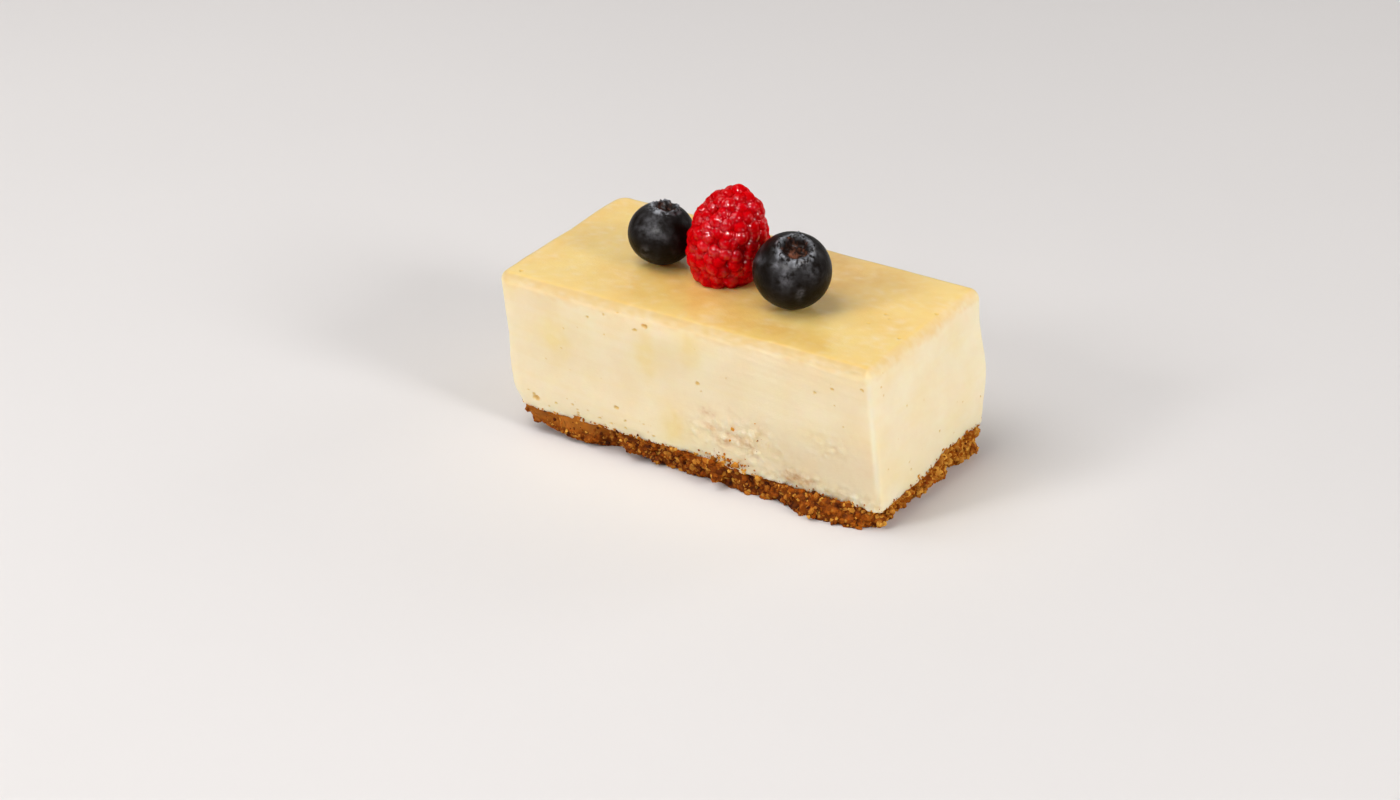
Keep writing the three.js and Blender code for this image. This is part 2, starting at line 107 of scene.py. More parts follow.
# On the front, where the knife tore curd and dragged crumbs along: middle, reach and weight
TORN_PATCHES = (
    ((13.0, 13.6), (11.0, 5.0), 1.0), ((37.0, 18.5), (8.0, 4.5), 0.4), ((29.5, 7.8), (9.0, 2.4), 0.9),
)
SMEARS = (
    (15.8, 13.3, 1.3), (9.8, 12.2, 1.2), (6.5, 15.3, 0.9), (6.2, 18.6, 1.0),
    (15.4, 7.8, 0.9), (30.5, 7.6, 1.8), (26.8, 7.6, 1.3), (12.2, 13.9, 0.7),
)
DRAG_SLOPE = 0.08

# Patches of painted shade and reflection on the top round the berries, and stains on the front: middle,
# then reach each way
SHADE_AND_REFLECTION_PATCHES = (
    (-1.0, -12.0, 15.0, 7.0), (19.0, 14.0, 14.0, 10.0), (3.0, 18.0, 16.0, 9.0),
    (-22.0, 9.0, 12.0, 7.0), (20.0, -17.0, 8.0, 4.0),
)
STAINS = (
    (-33.5, 27.0, 3.4, 5.5), (-9.6, 28.5, 2.4, 6.5), (1.8, 33.0, 2.6, 4.5), (-2.8, 12.0, 2.6, 5.0),
)

# The base's broken side: how far from the middle it begins and is whole, along and across
BASE_MIDDLE = 3.6
BASE_SIDE_ALONG = (43, 45)
BASE_SIDE_ACROSS = (19.5, 21.5)
FINE_ALONG = (-0.042, 0.0445)  # its grid is finer past these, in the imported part's metres
FINE_ACROSS = 0.0195
FINE_EDGE = 0.55 * MM
GRANULES = 4600
GRANULE_RADII = (0.24, 0.85)
GRANULE_SEED = 8
SEAM_CRUMBS = 620
SEAM_CRUMB_RADII = (0.1, 0.5)
SEAM_CRUMB_SEED = 14

# The raspberry, as in the part's drawing, with drupelets that vary a little more
RASPBERRY_FOOT = np.array([-4.5, -0.6, 40.3])
RASPBERRY_HEIGHT = 22.7
RASPBERRY_RADIUS = 9.4
RASPBERRY_WIDEST_AT = 7.8
RASPBERRY_POINTEDNESS = 0.58
RASPBERRY_FOOT_RADIUS = 7.3
RASPBERRY_FLATNESS = 0.94
RASPBERRY_LEAN = 10.5
RASPBERRY_LEAN_TOWARDS = 32
RASPBERRY_RINGS_START = -60  # degrees: the rings are staggered best there
DRUPELET_RADIUS = 1.65
DRUPELET_PITCH = 2.7
DRUPELET_ROW = 2.4
DRUPELET_JITTER = 0.26
DRUPELET_TURN_JITTER = 0.12
DRUPELET_SIZES = (0.88, 1.18)
CLEFT_WIDTH = 0.9
CLEFT_FILL = 0.42
RASPBERRY_SEED = 5
TONE_SEED = 3
HEART_LEVEL = 0.45  # a share of the height: the place that the surface is measured out from
OUTLINE_STEP = 0.02
RASPBERRY_SUNK = 0.35  # its foot goes into the top

# The blueberries' crowns: shares of the crown's radius, with the rise of the rim as a share of
# its height and that of the hollow in millimetres
CROWN_RIM = ((0.99, 0.38), (0.95, 0.75), (0.88, 1.0), (0.8, 0.97), (0.72, 0.6), (0.66, 0.0))
CROWN_HOLLOW = (
    (0.6, -0.6), (0.5, -1.1), (0.4, -1.25), (0.3, -1.1), (0.2, -1.2), (0.1, -0.9), (0, -0.9),
)
BLUEBERRY_SUNK = 0.32

# The camera, found from the bar's edges
CAMERA_AT = Vector((0.29841, -0.5027, 0.3236))
CAMERA_LOOKS = Vector((-0.4632, 0.7491, -0.4736))
CAMERA_LENS = 73.4
VIEW_RIGHT = CAMERA_LOOKS.cross((0, 0, 1)).normalized()
VIEW_UP = VIEW_RIGHT.cross(CAMERA_LOOKS).normalized()


# Small sums on arrays

def smoothstep(value, low, high):
    share = np.clip((value - low) / (high - low), 0, 1)
    return share * share * (3 - 2 * share)


def bell(distance, reach):
    return np.exp(-((distance / reach) ** 2))


def blend(low, high, share):
    return low + (high - low) * share


def relief(points, size):
    """Soft unevenness from about -1 to 1; size is one number, or one for each axis."""
    return np.array([noise.noise(p) for p in (points / size).tolist()])


def pebbles(points, size):
    """Rounded lumps side by side, from 1 on a lump to about -1 between lumps."""
    nearest = [noise.voronoi(p)[0][0] for p in (points / size).tolist()]
    return 1 - 2 * np.array(nearest)


def between_corners(corners, u, v):
    front = blend(corners[FRONT_LEFT], corners[FRONT_RIGHT], (u + 1) / 2)
    back = blend(corners[BACK_LEFT], corners[BACK_RIGHT], (u + 1) / 2)
    return blend(front, back, (v + 1) / 2)


def half_sizes(plan):
    return (
        (plan[FRONT_RIGHT][0] - plan[FRONT_LEFT][0]) / 2,
        (plan[BACK_LEFT][1] - plan[FRONT_LEFT][1]) / 2,
    )


def lean_of(degrees, towards):
    """The turn that tips upright by so many degrees towards a direction counted from +X."""
    heading = math.radians(towards)
    axis = Vector((-math.sin(heading), math.cos(heading), 0))
    return np.array(Quaternion(axis, math.radians(degrees)).to_matrix())


def turn_of(degrees):
    """The turn round upright, for points in rows."""
    spin = math.radians(degrees)
    return np.array([
        (math.cos(spin), math.sin(spin), 0),
        (-math.sin(spin), math.cos(spin), 0),
        (0, 0, 1),
    ])


# Meshes: points in the drawing's millimetres, pieces in the part's metres

def bare_points(mesh):
    """The points as the mesh has them: millimetres before place_points, metres after it."""
    flat = np.empty(len(mesh.vertices) * 3, np.float32)
    mesh.vertices.foreach_get("co", flat)
    return flat.reshape(-1, 3).astype(float)


def drawn_points(mesh):
    return bare_points(mesh) / MM - DRAWN_ZERO


def place_points(mesh, points):
    placed = (points + DRAWN_ZERO) * MM
    mesh.vertices.foreach_set("co", placed.astype(np.float32).ravel())
    mesh.update()


def outward(mesh):
    flat = np.empty(len(mesh.vertices) * 3, np.float32)
    mesh.vertex_normals.foreach_get("vector", flat)
    return flat.reshape(-1, 3).astype(float)


def paint(mesh, name, values):
    """Keeps a value for each vertex, which the piece's material reads by its name."""
    mesh.attributes.new(name, "FLOAT", "POINT").data.foreach_set("value", values.astype(np.float32))


def mesh_from(bm, name):
    mesh = bpy.data.meshes.new(name)
    bm.to_mesh(mesh)
    bm.free()
    return mesh


def copy_of_node(node):
    bm = bmesh.new()
    bm.from_mesh(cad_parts[node].data)
    bmesh.ops.remove_doubles(bm, verts=bm.verts, dist=MM * MM)
    return bm


def add_piece(name, mesh, material, slot, *nodes):
    piece = bpy.data.objects.new(name, mesh)
    bpy.context.scene.collection.objects.link(piece)
    mesh.materials.clear()
    mesh.materials.append(material)
    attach(piece, "root")
    if nodes:
        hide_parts(*nodes)
    return piece


# The filling

def gridded_block(steps):
    """A cube of half size 1, cut into a grid with so many steps along each axis."""
    bm = bmesh.new()
    bmesh.ops.create_cube(bm, size=2)
    for axis, count in enumerate(steps):
        along = [e for e in bm.edges if abs(e.verts[0].co[axis] - e.verts[1].co[axis]) > 1]
        bmesh.ops.subdivide_edges(bm, edges=along, cuts=count - 1, use_grid_fill=True)
    return bm


def beyond(value, limit):
    return value - np.clip(value, -limit, limit)


def square_to_arc(a, b):
    """What brings the square corner of the offset (a, b) onto an arc of the same reach, less 1."""
    length = np.hypot(a, b)
    return np.where(length > 0, np.maximum(abs(a), abs(b)) / np.maximum(length, 1e-9), 1) - 1


def round_block(points, half):
    x, y, z = points.T.copy()
    edge = np.where(z > 0, SHOULDER, FOOT_ROUND)
    dx = beyond(x, half[0] - edge)
    dy = beyond(y, half[1] - edge)
    dz = beyond(z, half[2] - edge)
    pull = square_to_arc(np.maximum(abs(dx), abs(dy)), dz)
    x += dx * pull
    y += dy * pull
    z += dz * pull
    corner_round = between_corners(UPRIGHT_ROUND, np.sign(x), np.sign(y))
    cx = beyond(x, half[0] - corner_round)
    cy = beyond(y, half[1] - corner_round)
    pull = square_to_arc(cx, cy)
    return x + cx * pull, y + cy * pull, z


def seam_height(x, y):
    back = smoothstep(y, *SEAM_ACROSS)
    slope = blend(SEAM_LEFT_RISE, SEAM_RIGHT_RISE, smoothstep(x, *SEAM_SLOPE_ALONG))
    return SEAM + slope * (1 - back) + SEAM_BACK_RISE * back * smoothstep(x, *SEAM_BACK_ALONG)


def shape_filling(unit):
    """The filling's smooth form, from the points of a block of half size 1."""
    half = np.array([*half_sizes(TOP_PLAN), (TOP - SEAM) / 2])
    crowded = np.sin(unit * CROWDING) / math.sin(CROWDING)
    rounded = round_block(crowded * half, half)
    u, v, level = rounded[0] / half[0], rounded[1] / half[1], (rounded[2] / half[2] + 1) / 2
    x, y = (
        blend(between_corners(SEAM_PLAN[:, axis], u, v), between_corners(TOP_PLAN[:, axis], u, v), level)
        for axis in (0, 1)
    )
    lip = LEFT_LIP * bell(level - LEFT_LIP_LEVEL, SWELL_SPREAD) * smoothstep(level, 0, LEFT_FOOT_LEVEL)
    swell = RIGHT_SWELL * bell(level - RIGHT_SWELL_LEVEL, SWELL_SPREAD)
    swell *= blend(SWELL_FRONT_SHARE, 1, (v + 1) / 2)
    soft = SOFT_RELIEF * relief(np.stack([x, y, SEAM + level * (TOP - SEAM)], 1), SOFT_RELIEF_SIZE)
    end_reach = abs(u) ** SIDE_CLOSENESS
    side_reach = abs(v) ** SIDE_CLOSENESS
    x += np.sign(u) * end_reach * (np.where(u < 0, lip, swell) + soft)
    y += np.sign(v) * side_reach * soft
    drop = TOP_DROP * np.maximum(end_reach, side_reach) * smoothstep(level, 0.5, 1)
    z = blend(seam_height(x, y) - SUNK_FOOT, TOP, level) - drop
    return np.stack([x, y, z], 1)


def on_surface(tree, origin, direction):
    return np.array(tree.ray_cast(Vector(origin), Vector(direction))[0])


def pinholes_of(tree):
    """Where the pinholes are, and their radii: the ones that show, then ones drawn by seed."""
    rng = np.random.default_rng(PINHOLE_SEED)
    found = [(on_surface(tree, (x, -FAR, z), (0, 1, 0)), r) for x, z, r in FRONT_PINHOLES]
    found += [(on_surface(tree, (x, y, FAR), (0, 0, -1)), r) for x, y, r in TOP_PINHOLES]
    found += [(on_surface(tree, (FAR, y, z), (-1, 0, 0)), r) for y, z, r in END_PINHOLES]
    for _ in range(FOOT_PINHOLES):
        x, z = rng.uniform(*FOOT_BETWEEN)
        found.append((on_surface(tree, (x, -FAR, z), (0, 1, 0)), rng.uniform(*FOOT_RADII)))
    for _ in range(SCATTERED_PINHOLES):
        x, y, z = rng.uniform(*SCATTERED_BETWEEN)
        side = rng.choice(len(SIDE_CHANCES), p=SIDE_CHANCES)
        origin, direction = (
            ((x, -FAR, z), (0, 1, 0)),
            ((x, y, FAR), (0, 0, -1)),
            ((FAR, y, z), (-1, 0, 0)),
            ((x, FAR, z), (0, -1, 0)),
            ((-FAR, y, z), (1, 0, 0)),
        )[side]
        found.append((on_surface(tree, origin, direction), rng.uniform(*SCATTERED_RADII)))
    return found


def refine_near(bm, places):
    """Cuts the grid finer round each pinhole, so that it is a real hollow."""
    points = np.array([v.co for v in bm.verts])
    near = np.zeros(len(points), bool)
    for place, radius in places:
        near |= np.linalg.norm(points - place, axis=1) < radius * 1.3 + 0.45
    bm.verts.index_update()
    edges = [e for e in bm.edges if near[e.verts[0].index] and near[e.verts[1].index]]
    bmesh.ops.subdivide_edges(bm, edges=edges, cuts=2, use_grid_fill=True)


def torn_share(points, front):
    x, z = points[:, 0], points[:, 2]
    share = smoothstep(x, -4, 8) * bell(z - SEAM, 3.0) * 0.6
    for (at_x, at_z), (along, up), weight in TORN_PATCHES:
        patch = bell(np.hypot((x - at_x) / along, (z - at_z) / up), 1)
        share = np.maximum(share, weight * patch)
    return front * np.clip(share * (1 + 0.7 * relief(points, 4)), 0, 1)


def smear_share(points, front):
    x, z = points[:, 0], points[:, 2]
    share = 0
    for at_x, at_z, reach in SMEARS:
        share = share + bell(np.hypot((x - at_x) / 1.7, z - at_z + 0.1 * (x - at_x)), reach)
    return front * np.clip(share * (0.75 + 0.9 * relief(points, 0.8)), 0, 1)


def meniscus(points):
    """The glaze climbs a little where each berry stands on it."""
    climb = 0
    for x, y, radius in ((-20.3, -0.9, 2.6), (16.6, -4.8, 3.0), (-4.5, -0.6, 7.6)):
        climb = climb + bell(np.hypot(points[:, 0] - x, points[:, 1] - y) - radius, 0.5)
    return climb


class FillingFace:
    """What the filling's relief and its colours go by, at each point of its smooth form."""

    def __init__(self, points, normals):
        x, y, z = points.T
        self.points = points
        self.normals = normals
        self.upward = smoothstep(normals[:, 2], 0.35, 0.85)
        self.front = smoothstep(-normals[:, 1], 0.5, 0.85)
        self.side = 1 - self.upward
        self.torn = torn_share(points, self.front)
        self.lumps = 0.55 * pebbles(points, (2.2, 2.0, 1.6)) + 0.4 * relief(points, 1.1)
        self.dragged = np.stack([x / 15, y / 4, (z + DRAG_SLOPE * x) / 0.8], 1)


def ridge_and_highlight_share(face):
    """The sharp front right edge, a broken line under the front's brow, and torn curd, which stand out
    and carry a painted highlight.
    """
    x, y, z = face.points.T
    level = (z - SEAM) / (TOP - SEAM)
    edge_line = bell(x - y * 0.03 - blend(50.3, 47.1, level), 0.6)
    ridge_and_highlight = edge_line * bell(y + blend(22.6, 24.2, level), 0.9) * smoothstep(z, 8, 11)
    ridge_and_highlight *= 1 - smoothstep(z, 35.5, 38.5)
    brow = 0.8 * face.front * bell(TOP - 1.3 - z, 0.5) * smoothstep(x, 18, 40)
    ridge_and_highlight += brow * smoothstep(relief(face.points, 2.2), 0, 0.3)
    ridge_and_highlight += face.torn * smoothstep(face.lumps, 0.05, 0.5)
    return ridge_and_highlight


def filling_rise(face, ridge_and_highlight):
    """How far the face stands out of its smooth form, before the pinholes."""
    points = face.points
    x, y, z = points.T
    rise = 0.1 * relief(points, 7) + 0.03 * face.side * relief(points, 1.7)
    rise += 0.05 * face.upward * relief(points, 4) + 0.1 * face.upward * meniscus(points)
    marks = bell(z - 33, 5.5) * smoothstep(x, -2, 8) * face.front
    rise += (0.03 * face.side + 0.1 * marks) * relief(face.dragged, 1)
    rise += face.torn * (face.lumps - 0.1)
    curd = face.side * bell(z - seam_height(x, y), 1.7)
    rise += curd * (0.25 * pebbles(points, 1.5) - 0.1)
    rise += 0.16 * ridge_and_highlight * (1 + relief(points, 1.5)) * (1 - face.torn)
    return rise


def sink_pinholes(points, places, rise):
    """Lowers the rise at each pinhole, and tells how much each point shows as one."""
    shown = np.zeros(len(points))
    warped = points + 0.25 * np.stack([relief(points + shift, 0.7) for shift in (0, 30, 60)], 1)
    for place, radius in places:
        distance = np.linalg.norm((warped - place) * (0.8, 1, 1.15), axis=1)
        rise -= PINHOLE_DEPTH * radius * (1 - smoothstep(distance, 0.3 * radius, radius))
        hole = 1 - smoothstep(distance, 0.5 * radius, 1.25 * radius)
        shown = np.maximum(shown, hole * min(1, radius / 0.4))
    return shown


def skin_share(points):
    """The golden skin, which ends in an uneven line a little below the top."""
    level_with_top = points * (1, 1, 0)
    edge = 1.7 + 0.9 * relief(level_with_top, 9) + 0.6 * relief(level_with_top, 2.6)
    edge += 1.1 * relief(points * (0.6, 1, 1), 1.2)
    return 1 - smoothstep(TOP - points[:, 2], edge - 2.2, edge + 2.2)


def painted_shade_share(face):
    """Painted shade: the shoulder, the low right of the front and the back of the top are made to show a
    little darker.
    """
    x, y, z = face.points.T
    rightward, _, upright = face.normals.T
    shoulder = smoothstep(upright, 0.12, 0.5) * (1 - smoothstep(upright, 0.85, 0.99))
    painted_shade = 0.15 * shoulder * (1 - smoothstep(rightward, 0.1, 0.4))
    back = bell(np.hypot((x - 7) / 25, (y - 18) / 10), 1)
    on_top = 0.03 + 0.04 * smoothstep(-y, -4, 16) + 0.11 * back
    painted_shade += 0.015 * face.front + face.upward * on_top
    painted_shade += 0.1 * face.front * smoothstep(x, 2, 26) * (1 - smoothstep(z, 13, 26))
    return painted_shade


def stain_share(face):
    x, _, z = face.points.T
    clouds = 0.55 * face.side * np.maximum(0, relief(face.points, 8))
    stain = clouds + 0.3 * face.side * np.maximum(0, relief(face.dragged, 1.6))
    for at_x, at_z, along, up in STAINS:
        spread = np.hypot((x - at_x) / along, (z - at_z) / up)
        stain = stain + face.front * bell(spread, 1) * (1 + 0.8 * relief(face.points, 2.4))
    return np.clip(stain, 0, 1)


# painted shade and reflection: patches of the top round the berries
def shade_and_reflection_share(points):
    share = 0
    for at_x, at_y, along, across in SHADE_AND_REFLECTION_PATCHES:
        spread = np.hypot((points[:, 0] - at_x) / along, (points[:, 1] - at_y) / across)
        share = share + bell(spread, 1)
    return np.clip(share * (0.8 + 0.5 * relief(points, 5) + 0.4 * relief(points, 1.8)), 0, 1)


def make_filling(material):
    bm = gridded_block(FILLING_GRID)
    form = shape_filling(np.array([v.co for v in bm.verts], float))
    for vertex, place in zip(bm.verts, form):
        vertex.co = place
    places = pinholes_of(BVHTree.FromBMesh(bm))
    refine_near(bm, places)
    mesh = mesh_from(bm, "baked_filling")
    points = bare_points(mesh)
    face = FillingFace(points, outward(mesh))
    ridge_and_highlight = ridge_and_highlight_share(face)
    rise = filling_rise(face, ridge_and_highlight)
    pinhole = sink_pinholes(points, places, rise)
    place_points(mesh, points + face.normals * rise[:, None])
    paint(mesh, "skin", skin_share(points))
    # painted shade on the shoulder, the front and the top
    paint(mesh, "painted_shade", painted_shade_share(face))
    paint(mesh, "stain", stain_share(face))
    paint(mesh, "torn", face.torn)
    paint(mesh, "smear", smear_share(points, face.front))
    paint(mesh, "pinhole", pinhole)
    paint(mesh, "ridge_and_highlight", np.clip(ridge_and_highlight, 0, 1))
    paint(mesh, "glaze", smoothstep(face.normals[:, 2], 0.9, 0.995))
    paint(mesh, "painted_shade_and_reflection", shade_and_reflection_share(points))
    mesh.shade_smooth()
    return add_piece("baked_filling", mesh, material, "baked_filling", "cheesecake")


# The crumb base

def refine(bm, longest, wanted):
    """Splits the edges that are longer than this, where they are wanted finer."""
    for _ in range(6):
        edges = [e for e in bm.edges if e.calc_length() > longest and wanted(e)]
        if not edges:
            return
        bmesh.ops.subdivide_edges(bm, edges=edges, cuts=1)
        bmesh.ops.triangulate(bm, faces=[f for f in bm.faces if len(f.verts) > 3])


def at_side(edge):
    """Near the base's outline, where it shows."""
    left, right = FINE_ALONG
    return any(
        vertex.co.x < left or vertex.co.x > right or abs(vertex.co.y) > FINE_ACROSS
        for vertex in edge.verts
    )


def cut_share(points):
    """How cleanly the base is cut: high on its front left it is smooth, the rest is broken crumb."""
    x, y, z = points.T
    return smoothstep(-x, 14, 26) * (1 - smoothstep(y, -20, -12)) * smoothstep(z, 2.4, 4.2)


# painted light: the crumbs at the right end are made paler
def painted_light_at_end(points):
    return END_PAINTED_LIGHT * smoothstep(points[:, 0], 45, 50)


def make_base(material):
    bm = copy_of_node("biscuit_base")
    refine(bm, FINE_EDGE, at_side)
    mesh = mesh_from(bm, "crumb_base")
    points = drawn_points(mesh)
    normals = outward(mesh)
    at_ends = smoothstep(abs(points[:, 0] - BASE_MIDDLE), *BASE_SIDE_ALONG)
    rim = np.maximum(at_ends, smoothstep(abs(points[:, 1]), *BASE_SIDE_ACROSS))
    lumps = 0.34 * pebbles(points, 1.7) + 0.22 * pebbles(points, 0.9) + 0.35 * relief(points, 2.2)
    rise = rim * blend(lumps, 0.25 * lumps, cut_share(points)) - 0.15 * rim
    moved = points + normals * rise[:, None]
    x, y, z = moved.T
    lift = bell(x + 28, 13) * smoothstep(-y, 19, 20.5) * smoothstep(z, 3, 5.5)
    moved[:, 2] = np.maximum(z + FRONT_LIFT * lift, 0)
    place_points(mesh, moved)
    streaks = 0.3 * relief(points * (0.35, 1, 1.6), 0.9)
    speckle = blend(0.35 * relief(points, 1.0), streaks, cut_share(points))
    # the tone follows the lumps and is darker between them: partly painted shade in the hollows
    tone = 0.3 + 0.4 * lumps + speckle + painted_light_at_end(points)
    paint(mesh, "tone", np.clip(tone, 0, 1))
    paint(mesh, "cut", cut_share(points))
    mesh.shade_smooth()
    return add_piece("crumb_base", mesh, material, "biscuit_crumb", "biscuit_base")


def points_on(mesh, weigh, count, rng):
    """Places drawn evenly over a mesh, or more closely where weigh is greater, and their normals."""
    mesh.calc_loop_triangles()
    corners = np.array([t.vertices[:] for t in mesh.loop_triangles])
    ends = drawn_points(mesh)[corners]
    cross = np.cross(ends[:, 1] - ends[:, 0], ends[:, 2] - ends[:, 0])
    area = np.linalg.norm(cross, axis=1)
    normals = cross / np.maximum(area, 1e-9)[:, None]
    weight = area * weigh(ends.mean(axis=1), normals)
    chosen = rng.choice(len(area), count, p=weight / weight.sum())
    a, b = rng.random((2, count, 1))
    a, b = np.where(a + b > 1, 1 - a, a), np.where(a + b > 1, 1 - b, b)
    first, second, third = ends[chosen].transpose(1, 0, 2)
    return first + a * (second - first) + b * (third - first), normals[chosen]


def any_turns(count, rng):
    """Rotation matrices that point every way."""
    a, b = rng.normal(size=(2, count, 3))
    a /= np.linalg.norm(a, axis=1)[:, None]
    b = np.cross(a, b)
    b /= np.linalg.norm(b, axis=1)[:, None]
    return np.stack([a, b, np.cross(a, b)], 1)


def lump_mesh(name, places, radii, tones, rng):
    """Many small uneven lumps as one mesh."""
    bm = bmesh.new()
    bmesh.ops.create_icosphere(bm, subdivisions=1, radius=1)
    bm.verts.index_update()
    ball = np.array([v.co for v in bm.verts])
    faces = np.array([[v.index for v in f.verts] for f in bm.faces])
    bm.free()
    count = len(places)
    shapes = ball * rng.uniform(0.75, 1.25, (count, len(ball), 1))
    shapes = shapes * rng.uniform(0.65, 1.25, (count, 1, 3))
    shapes = shapes @ any_turns(count, rng)
    points = (shapes * radii[:, None, None] + places[:, None, :]).reshape(-1, 3)
    points[:, 2] = np.maximum(points[:, 2], 0)
    corners = (faces + len(ball) * np.arange(count)[:, None, None]).reshape(-1, 3)
    mesh = bpy.data.meshes.new(name)
    mesh.from_pydata(np.zeros_like(points), [], corners.tolist())
    place_points(mesh, points)
    paint(mesh, "tone", np.repeat(tones, len(ball)))
    return mesh


def show_at_base_side(middles, normals):
    steep = smoothstep(0.8 - normals[:, 2], 0, 0.5) * smoothstep(normals[:, 2] + 0.95, 0, 0.3)
    at_ends = abs(middles[:, 0] - BASE_MIDDLE) > BASE_SIDE_ALONG[0]
    rim = np.maximum(at_ends, abs(middles[:, 1]) > BASE_SIDE_ACROSS[0])
    return (steep + 0.35 * (normals[:, 2] > 0)) * rim * blend(1, 0.15, cut_share(middles))


def make_granules(base, material):
    rng = np.random.default_rng(GRANULE_SEED)
    places, normals = points_on(base.data, show_at_base_side, GRANULES, rng)
    radii = blend(*GRANULE_RADII, rng.random(len(places)) ** 2.4)
    places = places - normals * radii[:, None] * 0.35
    # painted light makes the granules paler at the right end
    tones = rng.normal(0.46, 0.24, len(places)) + painted_light_at_end(places)
    tones = np.clip(tones, 0, 1)
    mesh = lump_mesh("base_granules", places, radii, tones, rng)
    return add_piece("base_granules", mesh, material, "biscuit_crumb")


def near_seam(middles, normals):
    x, y, z = middles.T
    steep = abs(normals[:, 2]) < 0.6
    above = np.clip(z - seam_height(x, y), 0, None)
    height = 0.45 + 1.1 * np.clip(relief(middles * (1, 1, 0), 6) + 0.15, 0, 1)
    height *= blend(0.5, 1, smoothstep(x, -10, 10))
    smear = bell(np.hypot((x - 13) / 8, (z - 14) / 3), 1) * (y < -20) * 0.03
    smear += bell(np.hypot((x - 11) / 5, (z - 7) / 1.1), 1) * (y < -20) * 1.6
    return steep * (bell(above, height) + smear)


def make_seam_crumbs(filling, material):
    rng = np.random.default_rng(SEAM_CRUMB_SEED)
    places, normals = points_on(filling.data, near_seam, SEAM_CRUMBS, rng)
    radii = blend(*SEAM_CRUMB_RADII, rng.random(len(places)) ** 3)
    radii *= 1 + 0.9 * bell(places[:, 0] - 11, 5) * (places[:, 1] < -20) * (places[:, 2] < 9)
    tones = np.clip(rng.normal(0.62, 0.18, len(places)), 0, 1)
    mesh = lump_mesh("seam_crumbs", places - normals * radii[:, None] * 0.3, radii, tones, rng)
    return add_piece("seam_crumbs", mesh, material, "biscuit_crumb")


# The raspberry

def seeded(seed):
    """Even draws from 0 to 1, the same as the part's drawing makes."""
    state = seed
    while True:
        state = (state * 16807) % 2147483647
        yield state / 2147483647


def raspberry_radius(height):
    if height < RASPBERRY_WIDEST_AT:
        share = ((RASPBERRY_WIDEST_AT - height) / RASPBERRY_WIDEST_AT) ** 2
        return blend(RASPBERRY_RADIUS, RASPBERRY_FOOT_RADIUS, share)
    rise = (height - RASPBERRY_WIDEST_AT) / (RASPBERRY_HEIGHT - RASPBERRY_WIDEST_AT)
    return RASPBERRY_RADIUS * max(0, 1 - rise ** 2) ** RASPBERRY_POINTEDNESS


def raspberry_rows():
    """Radii and heights along the outline, one row of drupelets apart."""
    previous = (raspberry_radius(0), 0)
    rows = [previous]
    walked = 0
    height = OUTLINE_STEP
    while height <= RASPBERRY_HEIGHT:
        here = (raspberry_radius(height), height)
        walked += math.dist(here, previous)
        previous = here
        if walked >= DRUPELET_ROW:
            rows.append(here)
            walked -= DRUPELET_ROW
        height += OUTLINE_STEP
    return rows


def raspberry_drupelets():
    """The drupelets' middles and radii, ring above ring, each ring turned by half a pitch."""
    draws = seeded(RASPBERRY_SEED)
    middles = []
    radii = []
    for row, (radius, height) in enumerate(raspberry_rows()):
        slope = (height - RASPBERRY_WIDEST_AT) / (RASPBERRY_HEIGHT - RASPBERRY_WIDEST_AT)
        inward = math.sqrt(1 - min(max(slope, 0), 1) ** 2)
        ring = max(0, radius - DRUPELET_RADIUS * inward)
        level = max(height - DRUPELET_RADIUS * min(max(slope, -0.3), 1), DRUPELET_JITTER)
        count = max(1, round(2 * math.pi * ring / DRUPELET_PITCH))
        for i in range(count):
            turn = math.radians(RASPBERRY_RINGS_START) + (i + (row % 2) / 2) / count * 2 * math.pi
            turn += DRUPELET_TURN_JITTER * (2 * next(draws) - 1)
            shift = DRUPELET_JITTER * (2 * next(draws) - 1)
            middles.append((ring * math.cos(turn), ring * math.sin(turn), level + shift))
            radii.append(DRUPELET_RADIUS * blend(*DRUPELET_SIZES, next(draws)))
    return np.array(middles), np.array(radii)


def lean_drupelets(middles):
    """Flattens the ring of drupelets across the lean, then tips it over."""
    heading = math.radians(RASPBERRY_LEAN_TOWARDS)
    across = np.array([-math.sin(heading), math.cos(heading), 0])
    flattened = middles + np.outer(middles @ across * (RASPBERRY_FLATNESS - 1), across)
    return flattened @ lean_of(RASPBERRY_LEAN, RASPBERRY_LEAN_TOWARDS).T


def drupelet_reach(directions, middles, radii):
    """How far the farthest drupelet and the next reach out each way, and which is the farthest."""
    along = directions @ middles.T
    clear = radii ** 2 - (middles ** 2).sum(axis=1) + along ** 2
    reaches = np.where(clear > 0, along + np.sqrt(np.maximum(clear, 0)), 0)
    first, second = np.sort(reaches, axis=1)[:, :-3:-1].T
    return first, second, reaches.argmax(axis=1)


